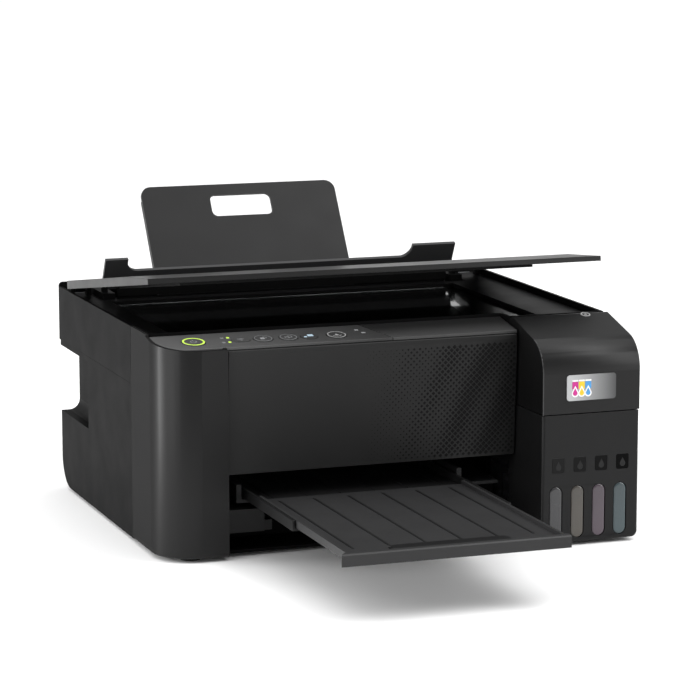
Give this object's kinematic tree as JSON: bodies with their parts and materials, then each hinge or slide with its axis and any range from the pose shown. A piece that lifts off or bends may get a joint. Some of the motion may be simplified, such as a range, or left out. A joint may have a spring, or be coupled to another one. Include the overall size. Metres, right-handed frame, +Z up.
{
  "type": "inkjet printer",
  "caption": "Ink-tank inkjet printer with a flatbed scanner: hinged lid and scanner unit, rear paper feed, pull-out output tray, hinged tank cover.",
  "frame": {"origin": "on the ground, at the centre of the printer's box with its output tray and paper support pulled out", "axes": "+Z up, -Y towards the front where the pages come out, +X to the right seen from the front"},
  "size_m": [0.375, 0.533, 0.2509],
  "materials": {
    "case_black": "fine moulded texture, satin",
    "panel_black": "moulded lozenge pattern, satin",
    "control_grey": "satin, blue grey",
    "strip_black": "smooth, half gloss",
    "cover_black": "satin",
    "lid_black": "fine moulded texture, satin",
    "dark_plastic": "matt",
    "button_dark": "satin",
    "badge_silver": "polished",
    "glass": "clear float glass over a dark well",
    "foam": "soft faced foam",
    "tank_black": "translucent",
    "tank_yellow": "translucent",
    "tank_magenta": "translucent",
    "tank_cyan": "translucent",
    "cap_black": "satin",
    "cap_yellow": "satin",
    "cap_magenta": "satin",
    "cap_cyan": "satin",
    "rubber": "matt",
    "steel": "zinc plated sheet",
    "shaft_steel": "ground",
    "screw_steel": "blackened",
    "gear_white": "natural acetal",
    "roller_grey": "coated",
    "felt_white": "absorbent felt",
    "board_green": "solder mask",
    "belt_black": "toothed belt"
  },
  "bodies": {
    "base": {"lower_case": "case_black", "case_screws": "screw_steel", "feet": "rubber", "rear_housing": "case_black", "front_casing": "case_black", "front_panel": "panel_black", "control_panel": "control_grey", "panel_strip": "strip_black", "tank_housing": "case_black", "tank_deck": "dark_plastic", "ink_tank_black": "tank_black", "ink_tank_yellow": "tank_yellow", "ink_tank_magenta": "tank_magenta", "ink_tank_cyan": "tank_cyan", "scanner_hinges": "steel", "hopper": "dark_plastic", "output_tray_deck": "dark_plastic", "main_frame": "steel", "carriage_shaft": "shaft_steel", "carriage_belt": "belt_black", "drive_motors": "steel", "platen": "dark_plastic", "capping_station": "dark_plastic", "waste_ink_pad": "felt_white", "power_supply": "dark_plastic", "main_board": "board_green", "ac_inlet": "dark_plastic"},
    "scanner_unit": {"scanner_case": "case_black", "scanner_frame": "case_black", "scanner_glass": "glass", "scan_rod": "shaft_steel"},
    "scan_carriage": {"scan_carriage": "dark_plastic"},
    "lid": {"lid_cover": "lid_black", "lid_mat": "foam"},
    "feeder_guard": {"feeder_guard": "case_black"},
    "paper_support": {"paper_support": "case_black"},
    "edge_guide_left": {"edge_guide_left": "case_black"},
    "edge_guide_right": {"edge_guide_right": "case_black"},
    "tray_rear_stage": {"tray_rear_stage": "case_black"},
    "tray_front_stage": {"tray_front_stage": "case_black"},
    "tray_stopper": {"tray_stopper": "case_black"},
    "tank_cover": {"tank_cover": "cover_black", "tank_badge": "badge_silver"},
    "print_carriage": {"print_carriage": "dark_plastic"},
    "motor_pulley": {"motor_pulley": "shaft_steel"},
    "idler_pulley": {"idler_pulley": "gear_white"},
    "feed_roller": {"feed_roller": "roller_grey"},
    "idler_gear": {"idler_gear": "gear_white"},
    "eject_roller": {"eject_roller": "roller_grey"},
    "pickup_roller": {"pickup_roller": "rubber"},
    "ink_cap_black": {"ink_cap_black": "cap_black"},
    "ink_cap_yellow": {"ink_cap_yellow": "cap_yellow"},
    "ink_cap_magenta": {"ink_cap_magenta": "cap_magenta"},
    "ink_cap_cyan": {"ink_cap_cyan": "cap_cyan"},
    "power_button": {"power_button": "button_dark"},
    "wifi_button": {"wifi_button": "button_dark"},
    "status_button": {"status_button": "button_dark"},
    "copy_mono_button": {"copy_mono_button": "button_dark"},
    "copy_colour_button": {"copy_colour_button": "button_dark"},
    "stop_button": {"stop_button": "button_dark"}
  },
  "joints": [
    {"name": "scanner_hinge", "type": "hinge", "parent": "base", "child": "scanner_unit", "pos_m": [0, 0.24651, 0.164], "axis": [-1, 0, 0], "range_deg": [0, 20]},
    {"name": "lid_hinge", "type": "hinge", "parent": "scanner_unit", "child": "lid", "pos_m": [0, 0.22651, 0.173], "axis": [-1, 0, 0], "range_deg": [-8.92, 60]},
    {"name": "scan_slide", "type": "slide", "parent": "scanner_unit", "child": "scan_carriage", "axis": [1, 0, 0], "range_m": [0, 0.28]},
    {"name": "guard_hinge", "type": "hinge", "parent": "base", "child": "feeder_guard", "pos_m": [0, 0.20811, 0.177], "axis": [1, 0, 0], "range_deg": [-43, 4]},
    {"name": "support_slide", "type": "slide", "parent": "base", "child": "paper_support", "axis": [0, 0.5446, 0.8387], "range_m": [-0.088, 0]},
    {"name": "edge_guide_left_slide", "type": "slide", "parent": "base", "child": "edge_guide_left", "axis": [1, 0, 0], "range_m": [0, 0.055]},
    {"name": "edge_guide_right_slide", "type": "slide", "parent": "base", "child": "edge_guide_right", "axis": [1, 0, 0], "range_m": [-0.055, 0]},
    {"name": "tray_rear_slide", "type": "slide", "parent": "base", "child": "tray_rear_stage", "axis": [0, 1, 0], "range_m": [0, 0.11]},
    {"name": "tray_front_slide", "type": "slide", "parent": "tray_rear_stage", "child": "tray_front_stage", "axis": [0, 1, 0], "range_m": [0, 0.11]},
    {"name": "stopper_hinge", "type": "hinge", "parent": "tray_front_stage", "child": "tray_stopper", "pos_m": [0, -0.25499, 0.0494], "axis": [1, 0, 0], "range_deg": [0, 75]},
    {"name": "tank_cover_hinge", "type": "hinge", "parent": "base", "child": "tank_cover", "pos_m": [0, -0.03299, 0.166], "axis": [-1, 0, 0], "range_deg": [0, 70]},
    {"name": "ink_cap_black_hinge", "type": "hinge", "parent": "base", "child": "ink_cap_black", "pos_m": [0.1173, -0.04349, 0.1065], "axis": [-1, 0, 0], "range_deg": [0, 85]},
    {"name": "ink_cap_yellow_hinge", "type": "hinge", "parent": "base", "child": "ink_cap_yellow", "pos_m": [0.1356, -0.04349, 0.1065], "axis": [-1, 0, 0], "range_deg": [0, 85]},
    {"name": "ink_cap_magenta_hinge", "type": "hinge", "parent": "base", "child": "ink_cap_magenta", "pos_m": [0.1537, -0.04349, 0.1065], "axis": [-1, 0, 0], "range_deg": [0, 85]},
    {"name": "ink_cap_cyan_hinge", "type": "hinge", "parent": "base", "child": "ink_cap_cyan", "pos_m": [0.1718, -0.04349, 0.1065], "axis": [-1, 0, 0], "range_deg": [0, 85]},
    {"name": "power_button_press", "type": "slide", "parent": "base", "child": "power_button", "axis": [0, 0.156, -0.9878], "range_m": [0, 0.0004], "stiffness_N_per_m": 300},
    {"name": "wifi_button_press", "type": "slide", "parent": "base", "child": "wifi_button", "axis": [0, 0.156, -0.9878], "range_m": [0, 0.0004], "stiffness_N_per_m": 300},
    {"name": "status_button_press", "type": "slide", "parent": "base", "child": "status_button", "axis": [0, 0.156, -0.9878], "range_m": [0, 0.0004], "stiffness_N_per_m": 300},
    {"name": "copy_mono_button_press", "type": "slide", "parent": "base", "child": "copy_mono_button", "axis": [0, 0.156, -0.9878], "range_m": [0, 0.0004], "stiffness_N_per_m": 300},
    {"name": "copy_colour_button_press", "type": "slide", "parent": "base", "child": "copy_colour_button", "axis": [0, 0.156, -0.9878], "range_m": [0, 0.0004], "stiffness_N_per_m": 300},
    {"name": "stop_button_press", "type": "slide", "parent": "base", "child": "stop_button", "axis": [0, 0.156, -0.9878], "range_m": [0, 0.0004], "stiffness_N_per_m": 300},
    {"name": "carriage_slide", "type": "slide", "parent": "base", "child": "print_carriage", "axis": [-1, 0, 0], "range_m": [0, 0.236]},
    {"name": "motor_pulley_spin", "type": "hinge", "parent": "base", "child": "motor_pulley", "pos_m": [0.152, 0.13201, 0.112], "axis": [0, 1, 0], "range_deg": [0, 2254]},
    {"name": "idler_pulley_spin", "type": "hinge", "parent": "base", "child": "idler_pulley", "pos_m": [-0.152, 0.13201, 0.112], "axis": [0, 1, 0], "range_deg": [0, 2254]},
    {"name": "feed_roller_spin", "type": "hinge", "parent": "base", "child": "feed_roller", "pos_m": [0, 0.12051, 0.07], "axis": [1, 0, 0], "continuous": true},
    {"name": "idler_gear_spin", "type": "hinge", "parent": "base", "child": "idler_gear", "pos_m": [-0.174, 0.08631, 0.07], "axis": [1, 0, 0], "continuous": true},
    {"name": "eject_roller_spin", "type": "hinge", "parent": "base", "child": "eject_roller", "pos_m": [0, 0.06211, 0.07], "axis": [1, 0, 0], "continuous": true},
    {"name": "pickup_roller_spin", "type": "hinge", "parent": "base", "child": "pickup_roller", "pos_m": [0, 0.14911, 0.1066], "axis": [1, 0, 0], "continuous": true}
  ],
  "couplings": [
    {"joint": "edge_guide_right_slide", "follows": "edge_guide_left_slide", "ratio": -1},
    {"joint": "motor_pulley_spin", "follows": "carriage_slide", "rad_per_m": 166.67},
    {"joint": "idler_pulley_spin", "follows": "carriage_slide", "rad_per_m": 166.67},
    {"joint": "idler_gear_spin", "follows": "feed_roller_spin", "ratio": -2.4},
    {"joint": "eject_roller_spin", "follows": "feed_roller_spin", "ratio": 1.7143}
  ]
}
